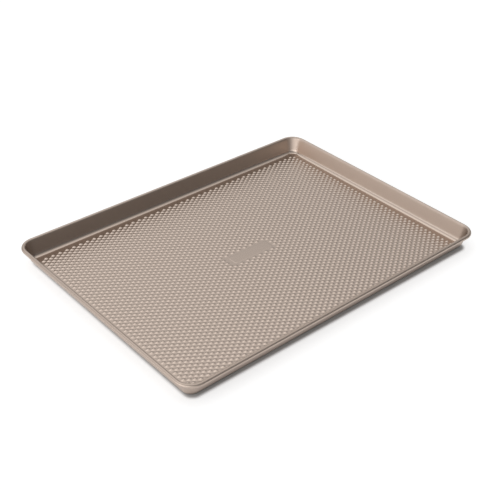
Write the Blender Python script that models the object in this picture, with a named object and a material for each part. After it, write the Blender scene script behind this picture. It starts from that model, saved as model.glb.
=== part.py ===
# Half sheet pan: one pressed steel sheet whose rim is rolled round a steel wire.
# Metres, +Z up. The origin is the centre of the underside, and +X runs along the long sides.

import math

import bmesh
import bpy
from mathutils import Vector

# Outside of the rim
RIM_LENGTH = 0.4572
RIM_WIDTH = 0.334
PAN_HEIGHT = 0.0227

# The sheet and the shape it is pressed to
SHEET = 0.0008
FLOOR_INSET = 0.0152  # from the rim's outside in to the edge of the flat floor
FLOOR_FILLET = 0.0059  # inside radius where the floor turns up into the wall
FLOOR_CORNER_RADIUS = 0.0058  # in plan, at the edge of the flat floor

# The rolled rim and the wire inside it
BEAD_DIAMETER = 0.005
CURL_MOUTH = 0.0005  # slit between the curled edge and the wall
WIRE_CLEARANCE = 0.0003
WIRE_BUTT_GAP = 0.001  # between the two ends of the wire

# Facets
SECTION_FACET = math.radians(15)  # about the turn between points on the arcs of the section
CORNER_FACET = math.radians(9)  # the same on the corners in plan
WIRE_BEVEL_RESOLUTION = 4
SMOOTH_ANGLE = math.radians(35)

# Finishes: colour and roughness
COATING = ((0.40, 0.32, 0.26), 0.34)
WIRE_STEEL = ((0.55, 0.54, 0.52), 0.30)

BEAD_RADIUS = BEAD_DIAMETER / 2
RIM_CORNER_RADIUS = FLOOR_CORNER_RADIUS + FLOOR_INSET
QUARTER = math.pi / 2
WELD = 1e-6


def clear_scene():
    for obj in list(bpy.data.objects):
        bpy.data.objects.remove(obj, do_unlink=True)


def metal(name, finish):
    colour, roughness = finish
    material = bpy.data.materials.new(name)
    material.use_nodes = True
    shader = material.node_tree.nodes["Principled BSDF"]
    shader.inputs["Base Color"].default_value = (*colour, 1.0)
    shader.inputs["Metallic"].default_value = 1.0
    shader.inputs["Roughness"].default_value = roughness
    return material


def facets(turn, facet):
    return max(1, round(abs(turn) / facet))


def arc(centre, radius, stops, facet):
    # Points from the first angle to the last, one of them at each stop, and about a facet apart.
    angles = [stops[0]]
    for start, end in zip(stops, stops[1:]):
        steps = facets(end - start, facet)
        angles += [start + (end - start) * step / steps for step in range(1, steps + 1)]
    return [centre + Vector((math.cos(angle), math.sin(angle))) * radius for angle in angles]


def corner_centres():
    # The floor, the walls and the rim all turn each corner about one upright axis.
    # Anticlockwise from the corner at +X and +Y.
    x = RIM_LENGTH / 2 - RIM_CORNER_RADIUS
    y = RIM_WIDTH / 2 - RIM_CORNER_RADIUS
    return [Vector((x, y)), Vector((-x, y)), Vector((-x, -y)), Vector((x, -y))]


def bead_centre():
    # In the section: distance outward from the rim's outside, and height.
    return Vector((-BEAD_RADIUS, PAN_HEIGHT - BEAD_RADIUS))


def section_outline():
    # The sheet cut square across one side, as distances outward from the rim's outside and heights.
    # The points run out along the food side, over and under the bead, and back along the underside.
    fillet = Vector((-FLOOR_INSET, SHEET + FLOOR_FILLET))
    bead = bead_centre()

    # The straight wall leaves the fillet and meets the bead as a tangent to both.
    reach = bead - fillet
    lean = math.atan2(reach.y, reach.x) - math.acos((FLOOR_FILLET + BEAD_RADIUS) / reach.length)
    mouth = math.acos((BEAD_RADIUS - SHEET - CURL_MOUTH) / BEAD_RADIUS)

    # The curl runs over its highest and outermost points, and ends short of the wall.
    turn_up = (-QUARTER, lean)
    curl = (lean + math.pi, QUARTER, 0, lean - math.pi + mouth)
    food_side = arc(fillet, FLOOR_FILLET, turn_up, SECTION_FACET)
    food_side += arc(bead, BEAD_RADIUS, curl, SECTION_FACET)
    underside = arc(fillet, FLOOR_FILLET + SHEET, turn_up, SECTION_FACET)
    underside += arc(bead, BEAD_RADIUS - SHEET, curl, SECTION_FACET)
    return food_side + underside[::-1]


def parts_of(geometry, kind):
    return [item for item in geometry if isinstance(item, kind)]


def draw_section(bm, centre):
    # Stands the section's outline on the +X side, where that side meets the first corner.
    start = centre.x + RIM_CORNER_RADIUS
    verts = [bm.verts.new((start + point.x, centre.y, point.y)) for point in section_outline()]
    edges = [bm.edges.new(pair) for pair in zip(verts, verts[1:])]
    return verts + edges


def sweep_round_rim(bm):
    # Carries the section once round the pan: a quarter turn at each corner, then a straight side.
    centres = corner_centres()
    section = draw_section(bm, centres[0])
    for here, following in zip(centres, centres[1:] + centres[:1]):
        turned = bmesh.ops.spin(bm, geom=section, cent=here.to_3d(), axis=(0, 0, 1), angle=QUARTER,
                                steps=facets(QUARTER, CORNER_FACET), use_duplicate=False)
        edges = parts_of(turned["geom_last"], bmesh.types.BMEdge)
        drawn = bmesh.ops.extrude_edge_only(bm, edges=edges)["geom"]
        verts = parts_of(drawn, bmesh.types.BMVert)
        bmesh.ops.translate(bm, verts=verts, vec=(following - here).to_3d())
        section = verts + parts_of(drawn, bmesh.types.BMEdge)
    bmesh.ops.remove_doubles(bm, verts=bm.verts, dist=WELD)


def close_floor(bm):
    # The two open loops are the edges of the flat floor, above and below.
    rims = [edge for edge in bm.edges if edge.is_boundary]
    bmesh.ops.edgeloop_fill(bm, edges=rims)
    bmesh.ops.recalc_face_normals(bm, faces=bm.faces)


def add_object(name, data, material):
    obj = bpy.data.objects.new(name, data)
    data.materials.append(material)
    bpy.context.scene.collection.objects.link(obj)
    return obj


def make_pan():
    bm = bmesh.new()
    sweep_round_rim(bm)
    close_floor(bm)
    mesh = bpy.data.meshes.new("pressed_pan")
    bm.to_mesh(mesh)
    bm.free()
    mesh.shade_smooth()
    mesh.set_sharp_from_angle(angle=SMOOTH_ANGLE)
    add_object("pressed_pan", mesh, metal("champagne_coating", COATING))


def wire_route():
    # Along the middle of the bead, from one side of the butt joint round to the other.
    # The joint is in the middle of the long side at +Y.
    bend = RIM_CORNER_RADIUS - BEAD_RADIUS
    side = RIM_WIDTH / 2 - BEAD_RADIUS
    centres = corner_centres()
    route = [Vector((-WIRE_BUTT_GAP / 2, side))]
    for turn, centre in enumerate(centres[1:] + centres[:1], start=1):
        route += arc(centre, bend, (turn * QUARTER, (turn + 1) * QUARTER), CORNER_FACET)
    route.append(Vector((WIRE_BUTT_GAP / 2, side)))
    return route


def make_wire():
    curve = bpy.data.curves.new("rim_wire", "CURVE")
    curve.dimensions = "3D"
    curve.bevel_depth = BEAD_RADIUS - SHEET - WIRE_CLEARANCE
    curve.bevel_resolution = WIRE_BEVEL_RESOLUTION
    curve.use_fill_caps = True
    route = wire_route()
    height = bead_centre().y
    spline = curve.splines.new("POLY")
    spline.points.add(len(route) - 1)
    for point, place in zip(spline.points, route):
        point.co = (place.x, place.y, height, 1.0)
    add_object("rim_wire", curve, metal("wire_steel", WIRE_STEEL))


clear_scene()
make_pan()
make_wire()
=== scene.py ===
import math

import bmesh
import bpy
from mathutils import Matrix, Vector
from mathutils.geometry import delaunay_2d_cdt


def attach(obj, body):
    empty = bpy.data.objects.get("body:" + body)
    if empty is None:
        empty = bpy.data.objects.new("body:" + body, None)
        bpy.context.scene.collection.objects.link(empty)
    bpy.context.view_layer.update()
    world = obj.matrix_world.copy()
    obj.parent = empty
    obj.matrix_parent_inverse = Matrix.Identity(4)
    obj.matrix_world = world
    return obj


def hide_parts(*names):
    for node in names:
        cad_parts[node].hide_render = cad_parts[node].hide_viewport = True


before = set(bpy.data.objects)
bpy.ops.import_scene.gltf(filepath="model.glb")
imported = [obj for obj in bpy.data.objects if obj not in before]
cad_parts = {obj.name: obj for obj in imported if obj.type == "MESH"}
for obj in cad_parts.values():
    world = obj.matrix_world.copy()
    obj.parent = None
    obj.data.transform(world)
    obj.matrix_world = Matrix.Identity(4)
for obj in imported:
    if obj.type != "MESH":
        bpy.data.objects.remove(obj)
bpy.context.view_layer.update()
print("packed model loaded")

quarterTurn = math.pi / 2
weld = 1e-6  # metres between points that are one point
arrayWeld = 1e-5  # the same after an array, whose steps add up


# Camera, at the angle that the photo was taken from

cameraView = {
    "lens": 70.32,
    "sensor": 36.0,
    "azimuth": -41.64,
    "elevation": 33.99,
    "roll": 1.436,
    "target": (0.00503, 0.01587, 0.0),
    "distance": 1.18890,
    "shift": (-0.0004, 0.0010),
    "clip": (0.05, 20),
}


def addCamera(view):
    azimuth, elevation, roll = (math.radians(view[key]) for key in ("azimuth", "elevation", "roll"))
    level = math.cos(elevation)
    back = Vector((math.sin(azimuth) * level, -math.cos(azimuth) * level, math.sin(elevation)))
    right = Vector((math.cos(azimuth), math.sin(azimuth), 0))
    up = back.cross(right)
    rolledRight = right * math.cos(roll) + up * math.sin(roll)
    rolledUp = up * math.cos(roll) - right * math.sin(roll)
    data = bpy.data.cameras.new("photoCamera")
    data.lens = view["lens"]
    data.sensor_width = view["sensor"]
    data.shift_x, data.shift_y = view["shift"]
    data.clip_start, data.clip_end = view["clip"]
    camera = bpy.data.objects.new("photoCamera", data)
    turn = Matrix((rolledRight, rolledUp, back)).transposed().to_4x4()
    camera.matrix_world = Matrix.Translation(Vector(view["target"]) + back * view["distance"]) @ turn
    bpy.context.scene.collection.objects.link(camera)
    bpy.context.scene.camera = camera


addCamera(cameraView)
print("camera placed")


# Helpers for meshes

def partsOf(geometry, kind):
    return [item for item in geometry if isinstance(item, kind)]


def openEdges(bm):
    return [edge for edge in bm.edges if edge.is_boundary]


def addObject(name, mesh, material):
    mesh.materials.append(material)
    made = bpy.data.objects.new(name, mesh)
    bpy.context.scene.collection.objects.link(made)
    return made


# Helpers for materials

def newMaterial(name):
    material = bpy.data.materials.new(name)
    material.use_nodes = True
    tree = material.node_tree
    return material, tree, tree.nodes["Principled BSDF"]


def addNode(tree, kind, **settings):
    node = tree.nodes.new(kind)
    for name, value in settings.items():
        setattr(node, name, value)
    return node


def noiseOf(tree, coordinates, scaleAndDetail):
    noise = addNode(tree, "ShaderNodeTexNoise")
    noise.inputs["Scale"].default_value, noise.inputs["Detail"].default_value = scaleAndDetail
    tree.links.new(coordinates, noise.inputs["Vector"])
    return noise.outputs["Fac"]


noiseMiddle = (0.3, 0.7)  # a noise seldom leaves this range


def spread(tree, value, low, high):
    # Stretches the middle of a noise over a range
    ranged = addNode(tree, "ShaderNodeMapRange")
    ranged.inputs["From Min"].default_value, ranged.inputs["From Max"].default_value = noiseMiddle
    ranged.inputs["To Min"].default_value, ranged.inputs["To Max"].default_value = low, high
    tree.links.new(value, ranged.inputs["Value"])
    return ranged.outputs["Result"]


# Non-stick coating: satin champagne with fine metallic flakes

coating = {
    "dark": (0.465, 0.383, 0.327),
    "light": (0.495, 0.407, 0.349),
    "flakes": (3200, 3),  # noise per metre, and its detail
    "roughness": (0.17, 0.21),  # on the floor
    "wallRoughness": 0.20,  # more than that on the walls and the rim
    "wallRise": (0.002, 0.006),  # heights between which it grows
    "patches": (26, 4),
    "grain": (1500, 2),
    "grainDepth": 0.00003,
    "grainStrength": 0.04,
}


def makeCoating(look):
    material, tree, shader = newMaterial("champagneCoating")
    place = addNode(tree, "ShaderNodeTexCoord").outputs["Object"]
    flakes = spread(tree, noiseOf(tree, place, look["flakes"]), 0, 1)
    colour = addNode(tree, "ShaderNodeMix", data_type="RGBA")
    colour.inputs["A"].default_value = (*look["dark"], 1)
    colour.inputs["B"].default_value = (*look["light"], 1)
    patches = noiseOf(tree, place, look["patches"])
    grain = addNode(tree, "ShaderNodeBump")
    grain.inputs["Strength"].default_value = look["grainStrength"]
    grain.inputs["Distance"].default_value = look["grainDepth"]
    tree.links.new(flakes, colour.inputs["Factor"])
    tree.links.new(noiseOf(tree, place, look["grain"]), grain.inputs["Height"])
    tree.links.new(colour.outputs["Result"], shader.inputs["Base Color"])
    height = addNode(tree, "ShaderNodeSeparateXYZ")
    rougher = addNode(tree, "ShaderNodeMapRange")
    rougher.inputs["From Min"].default_value, rougher.inputs["From Max"].default_value = look["wallRise"]
    rougher.inputs["To Max"].default_value = look["wallRoughness"]
    roughness = addNode(tree, "ShaderNodeMath", operation="ADD")
    tree.links.new(place, height.inputs[0])
    tree.links.new(height.outputs["Z"], rougher.inputs["Value"])
    tree.links.new(rougher.outputs["Result"], roughness.inputs[0])
    tree.links.new(spread(tree, patches, *look["roughness"]), roughness.inputs[1])
    tree.links.new(roughness.outputs[0], shader.inputs["Roughness"])
    tree.links.new(grain.outputs["Normal"], shader.inputs["Normal"])
    shader.inputs["Metallic"].default_value = 1.0
    return material


# The pressed pan: one sheet with an embossed floor, sloping walls and a rolled rim

pan = {
    "rimLength": 0.4572,
    "rimWidth": 0.334,
    "height": 0.0227,
    "sheet": 0.0008,
    "floorInset": 0.0152,  # rim's outside to the edge of the flat floor
    "floorFillet": 0.0059,
    "floorCorner": 0.0058,  # in plan
    "bead": 0.005,
    "mouth": 0.0005,  # slit between the curled edge and the wall
    "smoothEdge": 0.0002,  # strip of flat floor kept beside the fillet
    "wallLoops": (0.1, 0.9),  # places of two more points up the wall, which keep its shading flat
    "sectionFacet": math.radians(10),
    "cornerFacet": math.radians(6),
    "sharpAngle": math.radians(35),
}

embossing = {
    "pitch": (0.009856, 0.006838),  # along a row, and over two rows
    "columns": 85,
    "rows": 86,
    "foot": (0.0031, 0.0025),  # half of a bump's length and width
    "shoulder": 0.5,  # share of the foot
    "shoulderHeight": 0.00075,
    "height": 0.00105,
    "dimple": 0.0006,  # how far the underside follows
    "sides": (8, 4),  # of a bump above and below
    "offset": (0.0012, 0.0004),  # of the pattern's middle from the floor's
}

plate = {
    "size": (0.061, 0.016),
    "corner": 0.003,
    "cornerSteps": 6,
    "edge": (0.0004, 0.0003, 0.0003, 0.0003, 0.0004),  # widths of the rounded edge's steps
    "lifts": (0, 0.00004, 0.00007, 0.00004, 0),  # and their heights
}


def arcPoints(centre, radius, stops, facet):
    # One point at each stop, and about a facet between the others
    angles = [stops[0]]
    for start, end in zip(stops, stops[1:]):
        steps = max(1, round(abs(end - start) / facet))
        angles += [start + (end - start) * step / steps for step in range(1, steps + 1)]
    return [centre + Vector((math.cos(angle), math.sin(angle))) * radius for angle in angles]


def panSection():
    # Distances outward from the rim's outside, and heights: from the floor over the bead, and back below
    sheet, fillet, bead = pan["sheet"], pan["floorFillet"], pan["bead"] / 2
    filletCentre = Vector((-pan["floorInset"], sheet + fillet))
    beadCentre = Vector((-bead, pan["height"] - bead))
    reach = beadCentre - filletCentre
    lean = math.atan2(reach.y, reach.x) - math.acos((fillet + bead) / reach.length)
    mouth = math.acos((bead - sheet - pan["mouth"]) / bead)
    curl = (lean + math.pi, quarterTurn, 0, lean - math.pi + mouth)

    def oneFace(height, filletRadius, beadRadius):
        rising = arcPoints(filletCentre, filletRadius, (-quarterTurn, lean), pan["sectionFacet"])
        rolled = arcPoints(beadCentre, beadRadius, curl, pan["sectionFacet"])
        floorEdge = Vector((-pan["floorInset"] - pan["smoothEdge"], height))
        wall = [rising[-1].lerp(rolled[0], share) for share in pan["wallLoops"]]
        return [floorEdge] + rising + wall + rolled

    foodSide = oneFace(sheet, fillet, bead)
    underside = oneFace(0, fillet + sheet, bead - sheet)
    return foodSide + underside[::-1]


def sweepWalls(bm):
    # Carries the section round the four corners and along the straight sides between them
    corner = pan["floorCorner"] + pan["floorInset"]
    x, y = pan["rimLength"] / 2 - corner, pan["rimWidth"] / 2 - corner
    centres = [Vector((x, y, 0)), Vector((-x, y, 0)), Vector((-x, -y, 0)), Vector((x, -y, 0))]
    verts = [bm.verts.new((x + corner + point.x, y, point.y)) for point in panSection()]
    section = verts + [bm.edges.new(pair) for pair in zip(verts, verts[1:])]
    for here, following in zip(centres, centres[1:] + centres[:1]):
        turned = bmesh.ops.spin(bm, geom=section, cent=here, axis=(0, 0, 1), angle=quarterTurn,
                                steps=round(quarterTurn / pan["cornerFacet"]), use_duplicate=False)
        edges = partsOf(turned["geom_last"], bmesh.types.BMEdge)
        drawn = bmesh.ops.extrude_edge_only(bm, edges=edges)["geom"]
        verts = partsOf(drawn, bmesh.types.BMVert)
        bmesh.ops.translate(bm, verts=verts, vec=following - here)
        section = verts + partsOf(drawn, bmesh.types.BMEdge)
    bmesh.ops.remove_doubles(bm, verts=bm.verts, dist=weld)


def addBump(bm, sides, rings, peakHeight):
    # From the peak down: each ring is half a length, half a width and a height
    verts = bmesh.ops.create_circle(bm, cap_ends=True, cap_tris=True, radius=1, segments=sides)["verts"]
    peak = min(verts, key=lambda vert: vert.co.length)
    length, width, height = rings[0]
    bmesh.ops.scale(bm, verts=verts, vec=(length, width, 1))
    bmesh.ops.translate(bm, verts=verts, vec=(0, 0, height))
    bmesh.ops.translate(bm, verts=[peak], vec=(0, 0, peakHeight - height))
    for before, after in zip(rings, rings[1:]):
        drawn = bmesh.ops.extrude_edge_only(bm, edges=openEdges(bm))["geom"]
        verts = partsOf(drawn, bmesh.types.BMVert)
        bmesh.ops.scale(bm, verts=verts, vec=(after[0] / before[0], after[1] / before[1], 1))
        bmesh.ops.translate(bm, verts=verts, vec=(0, 0, after[2] - before[2]))


def addLozenge(bm):
    # The flat floor round one bump, whose four corners it shares with its neighbours
    bumpEdges = openEdges(bm)
    corners = bmesh.ops.create_circle(bm, radius=1, segments=4)["verts"]
    bmesh.ops.scale(bm, verts=corners, vec=(embossing["pitch"][0] / 2, embossing["pitch"][1] / 2, 1))
    lozengeEdges = [edge for edge in bm.edges if not edge.link_faces]
    bmesh.ops.bridge_loops(bm, edges=bumpEdges + lozengeEdges)


def fieldStart():
    # The bump at -X and -Y
    pitchX, pitchY = embossing["pitch"]
    offsetX, offsetY = embossing["offset"]
    lastX, lastY = (embossing["columns"] - 1) * pitchX / 2, (embossing["rows"] - 1) * pitchY / 2
    return Vector((offsetX - lastX / 2, offsetY - lastY / 2, 0))


def copyOverFloor(bm, height):
    # A bump and its neighbour in the next row, copied with two arrays
    pitchX, pitchY = embossing["pitch"]
    bmesh.ops.translate(bm, verts=bm.verts, vec=fieldStart() + Vector((0, 0, height)))
    neighbour = bmesh.ops.duplicate(bm, geom=bm.verts[:] + bm.edges[:] + bm.faces[:])["geom"]
    bmesh.ops.translate(bm, verts=partsOf(neighbour, bmesh.types.BMVert), vec=(pitchX / 2, pitchY / 2, 0))
    mesh = bpy.data.meshes.new("tile")
    bm.to_mesh(mesh)
    tile = bpy.data.objects.new("tile", mesh)
    bpy.context.scene.collection.objects.link(tile)
    for count, step in ((embossing["columns"], (pitchX, 0, 0)), (embossing["rows"], (0, pitchY, 0))):
        copies = tile.modifiers.new("copies", "ARRAY")
        copies.use_relative_offset = False
        copies.use_constant_offset = True
        copies.constant_offset_displace = step
        copies.count = math.ceil(count / 2)
    finished = tile.evaluated_get(bpy.context.evaluated_depsgraph_get())
    bm.clear()
    bm.from_mesh(finished.to_mesh())
    finished.to_mesh_clear()
    bpy.data.objects.remove(tile)
    bpy.data.meshes.remove(mesh)
    bmesh.ops.remove_doubles(bm, verts=bm.verts, dist=arrayWeld)


def trimField(bm):
    # Takes out whole lozenges: those past the last row or column, and those that the plate would cut
    pitchX, pitchY = embossing["pitch"]
    start = fieldStart()
    clearX, clearY = (plate["size"][axis] / 2 + embossing["foot"][axis] for axis in (0, 1))

    def unwanted(face):
        place = face.calc_center_median() - start
        rising = round(place.x / pitchX + place.y / pitchY)
        falling = round(place.x / pitchX - place.y / pitchY)
        x = start.x + (rising + falling) * pitchX / 2
        y = start.y + (rising - falling) * pitchY / 2
        pastLastColumn = x > start.x + (embossing["columns"] - 0.5) * pitchX / 2
        pastLastRow = y > start.y + (embossing["rows"] - 0.5) * pitchY / 2
        return pastLastColumn or pastLastRow or (abs(x) < clearX and abs(y) < clearY)

    bmesh.ops.delete(bm, geom=[face for face in bm.faces if unwanted(face)], context="FACES")


def embossedField(sides, rings, peakHeight, height):
    bm = bmesh.new()
    addBump(bm, sides, rings, peakHeight)
    addLozenge(bm)
    copyOverFloor(bm, height)
    trimField(bm)
    mesh = bpy.data.meshes.new("field")
    bm.to_mesh(mesh)
    bm.free()
    return mesh


def plainPlate(height):
    # A raised plate with a rounded edge and rounded corners
    bm = bmesh.new()
    bmesh.ops.create_grid(bm, x_segments=1, y_segments=1, size=0.5)
    bmesh.ops.scale(bm, verts=bm.verts, vec=(*plate["size"], 1))
    bmesh.ops.translate(bm, verts=bm.verts, vec=(0, 0, height))
    bmesh.ops.bevel(bm, geom=bm.verts[:], affect="VERTICES", offset=plate["corner"],
                    segments=plate["cornerSteps"], profile=0.5, material=-1)
    top = bm.faces[:]
    for width, lift in zip(plate["edge"], plate["lifts"]):
        bmesh.ops.inset_region(bm, faces=top, thickness=width, depth=lift, use_boundary=True,
                               use_even_offset=True)
    mesh = bpy.data.meshes.new("plate")
    bm.to_mesh(mesh)
    bm.free()
    return mesh


def closeFloor(bm, height):
    # Smooth floor from the walls to the bumps, and from the bumps to the plate
    # Blender's Delaunay triangles do it, because triangle_fill leaves gaps beside the zigzag of bumps
    edges = [edge for edge in openEdges(bm) if abs(edge.verts[0].co.z - height) < weld]
    covers = bmesh.ops.edgeloop_fill(bm, edges=edges)["faces"]
    joined = {vert for cover in covers for vert in cover.verts}
    verts = [vert for vert in bm.verts if vert in joined]
    number = {vert: place for place, vert in enumerate(verts)}
    loops = []
    for cover in covers:
        cover.normal_update()
        loop = [number[vert] for vert in cover.verts]
        loops.append(loop if cover.normal.z > 0 else loop[::-1])
    bmesh.ops.delete(bm, geom=covers, context="FACES_ONLY")
    insideLoops = 1
    flat = [vert.co.xy for vert in verts]
    _, _, triangles, _, _, loopsAround = delaunay_2d_cdt(flat, [], loops, insideLoops, weld)
    for triangle, around in zip(triangles, loopsAround):
        if len(around) % 2:
            bm.faces.new([verts[corner] for corner in triangle])


def makePan():
    footX, footY = embossing["foot"]
    shoulder = embossing["shoulder"]
    foot = (footX, footY, 0)
    bumpRings = [(footX * shoulder, footY * shoulder, embossing["shoulderHeight"]), foot]
    bm = bmesh.new()
    sweepWalls(bm)
    print("walls and rolled rim swept")
    sidesAbove, sidesBelow = embossing["sides"]
    for sides, rings, peakHeight, height in ((sidesAbove, bumpRings, embossing["height"], pan["sheet"]),
                                             (sidesBelow, [foot], embossing["dimple"], 0)):
        for mesh in (embossedField(sides, rings, peakHeight, height), plainPlate(height)):
            bm.from_mesh(mesh)
            bpy.data.meshes.remove(mesh)
        closeFloor(bm, height)
    bmesh.ops.recalc_face_normals(bm, faces=bm.faces)
    print("floor embossed,", len(openEdges(bm)), "open edges")
    mesh = bpy.data.meshes.new("panSheet")
    bm.to_mesh(mesh)
    bm.free()
    mesh.shade_smooth()
    mesh.set_sharp_from_angle(angle=pan["sharpAngle"])
    sheet = addObject("panSheet", mesh, makeCoating(coating))
    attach(sheet, "root")
    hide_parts("pressed_pan")
    print("pan sheet:", sum(len(face.vertices) - 2 for face in mesh.polygons), "triangles")


makePan()


# The wire inside the rim keeps its solid and gets drawn bright steel

wireSteel = {
    "dark": (0.42, 0.41, 0.39),
    "light": (0.56, 0.55, 0.53),
    "roughness": (0.22, 0.34),
    "streaks": (900, 3),  # noise per metre, and its detail
    "grainDepth": 0.00002,
    "grainStrength": 0.2,
}


def finishWire(look):
    material, tree, shader = newMaterial("drawnSteel")
    place = addNode(tree, "ShaderNodeTexCoord").outputs["Object"]
    streaks = noiseOf(tree, place, look["streaks"])
    colour = addNode(tree, "ShaderNodeMix", data_type="RGBA")
    colour.inputs["A"].default_value = (*look["dark"], 1)
    colour.inputs["B"].default_value = (*look["light"], 1)
    grain = addNode(tree, "ShaderNodeBump")
    grain.inputs["Strength"].default_value = look["grainStrength"]
    grain.inputs["Distance"].default_value = look["grainDepth"]
    tree.links.new(spread(tree, streaks, 0, 1), colour.inputs["Factor"])
    tree.links.new(streaks, grain.inputs["Height"])
    tree.links.new(colour.outputs["Result"], shader.inputs["Base Color"])
    tree.links.new(spread(tree, streaks, *look["roughness"]), shader.inputs["Roughness"])
    tree.links.new(grain.outputs["Normal"], shader.inputs["Normal"])
    shader.inputs["Metallic"].default_value = 1.0
    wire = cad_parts["rim_wire"]
    wire.data.materials.clear()
    wire.data.materials.append(material)


finishWire(wireSteel)
print("wire finished")


# Studio: white floor, with a painted shadow round the pan, under a soft sky

studioFloor = {
    "size": 8.0,
    "colour": (0.50, 0.50, 0.50),
    "glow": 0.65,  # only for the camera, reflections and transmission
    "paintedShadowInset": 0.021,  # of a rectangle under the pan, from the rim's outline
    "glowStart": 0.008,  # how far outside that rectangle the glow begins; the band without glow round the pan is a painted shadow, standing in for the pan's shade
    "glowFade": 0.006,  # and the width over which it grows
    "paintedShadowShift": (0, 0.0045, 0),  # the painted shadow reaches further in front
    "paintedShadowTurn": math.radians(0.25),  # and furthest in front at +X
}

skyLight = {
    "even": 0.12,
    "sharpness": 8.0,  # a higher number makes each soft light smaller
    "softLights": (  # heading from +Y towards +X, height and strength
        (20, 12, 0.43),
        (60, 12, 0.24),
        (180, 12, 0.20),
        (220, 12, 1.25),
        (260, 12, 2.07),
        (300, 12, 1.21),
        (45, 38, 0.31),
        (270, 38, 0.29),
        (340, 56, 0.45),
        (0, 66, 0.90),
        (36, 66, 0.13),
        (108, 66, 0.68),
    ),
}


def seenDirectly(tree):
    # 1 for camera, glossy and transmission rays
    rays = addNode(tree, "ShaderNodeLightPath")
    either = addNode(tree, "ShaderNodeMath", operation="MAXIMUM")
    anyOfThree = addNode(tree, "ShaderNodeMath", operation="MAXIMUM")
    tree.links.new(rays.outputs["Is Camera Ray"], either.inputs[0])
    tree.links.new(rays.outputs["Is Glossy Ray"], either.inputs[1])
    tree.links.new(either.outputs[0], anyOfThree.inputs[0])
    tree.links.new(rays.outputs["Is Transmission Ray"], anyOfThree.inputs[1])
    return anyOfThree.outputs[0]


def glowRoundPaintedShadow(tree, look):
    # The floor's glow by the distance outside a rectangle under the pan; where the glow is missing round
    # the pan, it is a painted shadow
    inset = look["paintedShadowInset"]
    turned = addNode(tree, "ShaderNodeVectorRotate", rotation_type="Z_AXIS")
    turned.inputs["Angle"].default_value = look["paintedShadowTurn"]
    tree.links.new(addNode(tree, "ShaderNodeTexCoord").outputs["Object"], turned.inputs["Vector"])
    distance = turned.outputs["Vector"]
    for operation, amount in (("ADD", look["paintedShadowShift"]), ("ABSOLUTE", None),
                              ("SUBTRACT", (pan["rimLength"] / 2 - inset, pan["rimWidth"] / 2 - inset, 0)),
                              ("MAXIMUM", (0, 0, 0))):
        step = addNode(tree, "ShaderNodeVectorMath", operation=operation)
        tree.links.new(distance, step.inputs[0])
        if amount:
            step.inputs[1].default_value = amount
        distance = step.outputs[0]
    length = addNode(tree, "ShaderNodeVectorMath", operation="LENGTH")
    tree.links.new(distance, length.inputs[0])
    grown = addNode(tree, "ShaderNodeMapRange", interpolation_type="SMOOTHSTEP")
    grown.inputs["From Min"].default_value = look["glowStart"]
    grown.inputs["From Max"].default_value = look["glowStart"] + look["glowFade"]
    grown.inputs["To Max"].default_value = look["glow"]
    tree.links.new(length.outputs["Value"], grown.inputs["Value"])
    return grown.outputs["Result"]


def makeFloor(look):
    bm = bmesh.new()
    bmesh.ops.create_grid(bm, x_segments=1, y_segments=1, size=look["size"] / 2)
    mesh = bpy.data.meshes.new("studioFloor")
    bm.to_mesh(mesh)
    bm.free()
    material, tree, shader = newMaterial("paleFloor")
    shader.inputs["Base Color"].default_value = (*look["colour"], 1)
    shader.inputs["Roughness"].default_value = 1.0
    shader.inputs["Specular IOR Level"].default_value = 0.0
    shader.inputs["Emission Color"].default_value = (1, 1, 1, 1)
    glow = addNode(tree, "ShaderNodeMath", operation="MULTIPLY")
    tree.links.new(seenDirectly(tree), glow.inputs[0])
    tree.links.new(glowRoundPaintedShadow(tree, look), glow.inputs[1])
    tree.links.new(glow.outputs[0], shader.inputs["Emission Strength"])
    addObject("studioFloor", mesh, material)


def makeSky(look):
    world = bpy.data.worlds.new("softSky")
    world.use_nodes = True
    tree = world.node_tree
    direction = addNode(tree, "ShaderNodeTexCoord").outputs["Generated"]
    total = None
    for heading, height, strength in look["softLights"]:
        turn, lift = math.radians(heading), math.radians(height)
        towards = (math.sin(turn) * math.cos(lift), math.cos(turn) * math.cos(lift), math.sin(lift))
        facing = addNode(tree, "ShaderNodeVectorMath", operation="DOT_PRODUCT")
        facing.inputs[1].default_value = towards
        front = addNode(tree, "ShaderNodeMath", operation="MAXIMUM")
        front.inputs[1].default_value = 0
        soft = addNode(tree, "ShaderNodeMath", operation="POWER")
        soft.inputs[1].default_value = look["sharpness"]
        added = addNode(tree, "ShaderNodeMath", operation="MULTIPLY_ADD")
        added.inputs[1].default_value = strength
        added.inputs[2].default_value = look["even"]
        tree.links.new(direction, facing.inputs[0])
        tree.links.new(facing.outputs["Value"], front.inputs[0])
        tree.links.new(front.outputs[0], soft.inputs[0])
        tree.links.new(soft.outputs[0], added.inputs[0])
        if total:
            tree.links.new(total, added.inputs[2])
        total = added.outputs[0]
    background = tree.nodes["Background"]
    background.inputs["Color"].default_value = (1, 1, 1, 1)
    tree.links.new(total, background.inputs["Strength"])
    bpy.context.scene.world = world


makeFloor(studioFloor)
makeSky(skyLight)
bpy.context.scene.view_settings.view_transform = "Standard"
print("studio lit")
